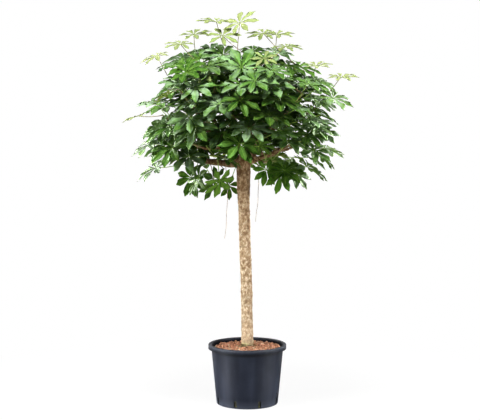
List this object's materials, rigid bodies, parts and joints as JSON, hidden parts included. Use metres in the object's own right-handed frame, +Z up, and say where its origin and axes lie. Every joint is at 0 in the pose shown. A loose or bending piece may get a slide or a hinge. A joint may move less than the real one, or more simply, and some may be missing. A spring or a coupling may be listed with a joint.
{
  "type": "potted umbrella plant",
  "caption": "Umbrella plant grown as a tree on a bare trunk, with a round dense crown of palmate leaves, in a plain tapered nursery pot topped with clay granules",
  "frame": {"origin": "middle of the pot's flat base, where the part rests", "axes": "+Z up along the trunk, best side faces -Y, +X to the right seen from the best side"},
  "size_m": [0.8969, 0.7537, 1.5063],
  "materials": {
    "pot_plastic": "moulded slate-grey plastic, satin, with faint scuffs and dust",
    "potting_soil": null,
    "fired_clay": null,
    "bark": "pale tan bark, slightly rough, with knots and browner patches near the fork",
    "mature_leaf": "waxy dark green leaf with a paler midrib, semi-gloss; leather stands in for living leaf",
    "young_leaf": "soft yellow-green new leaf, semi-gloss; leather stands in for living leaf"
  },
  "bodies": {
    "root": {"pot": "pot_plastic", "soil": "potting_soil", "clay_granules": "fired_clay", "trunk": "bark", "leafy_stem_01": "mature_leaf", "leafy_stem_02": "mature_leaf", "leafy_stem_03": "mature_leaf", "leafy_stem_04": "mature_leaf", "leafy_stem_05": "mature_leaf", "leafy_stem_06": "mature_leaf", "leafy_stem_07": "mature_leaf", "leafy_stem_08": "mature_leaf", "leafy_stem_09": "mature_leaf", "leafy_stem_10": "mature_leaf", "leafy_stem_11": "mature_leaf", "leafy_stem_12": "mature_leaf", "leafy_stem_13": "mature_leaf", "leafy_stem_14": "mature_leaf", "leafy_stem_15": "mature_leaf", "leafy_stem_16": "mature_leaf", "leafy_stem_17": "mature_leaf", "leafy_stem_18": "mature_leaf", "leafy_stem_19": "mature_leaf", "leafy_stem_20": "mature_leaf", "leafy_stem_21": "mature_leaf", "leafy_stem_22": "mature_leaf", "leafy_stem_23": "mature_leaf", "leafy_stem_24": "mature_leaf", "leafy_stem_25": "mature_leaf", "leafy_stem_26": "mature_leaf", "leafy_stem_27": "mature_leaf", "leafy_stem_28": "mature_leaf", "leafy_stem_29": "mature_leaf", "leafy_stem_30": "mature_leaf", "leafy_stem_31": "mature_leaf", "leafy_stem_32": "mature_leaf", "leafy_stem_33": "mature_leaf", "leafy_stem_34": "mature_leaf", "leafy_stem_35": "mature_leaf", "leafy_stem_36": "mature_leaf", "leafy_stem_37": "mature_leaf", "leafy_stem_38": "mature_leaf", "leafy_stem_39": "mature_leaf", "young_shoot_01": "young_leaf", "young_shoot_02": "young_leaf", "young_shoot_03": "young_leaf", "young_shoot_04": "young_leaf", "young_shoot_05": "young_leaf", "young_shoot_06": "young_leaf", "young_shoot_07": "young_leaf", "young_shoot_08": "young_leaf", "young_shoot_09": "young_leaf", "young_shoot_10": "young_leaf", "young_shoot_11": "young_leaf", "young_shoot_12": "young_leaf", "young_shoot_13": "young_leaf", "young_shoot_14": "young_leaf", "young_shoot_15": "young_leaf", "young_shoot_16": "young_leaf"}
  },
  "joints": []
}
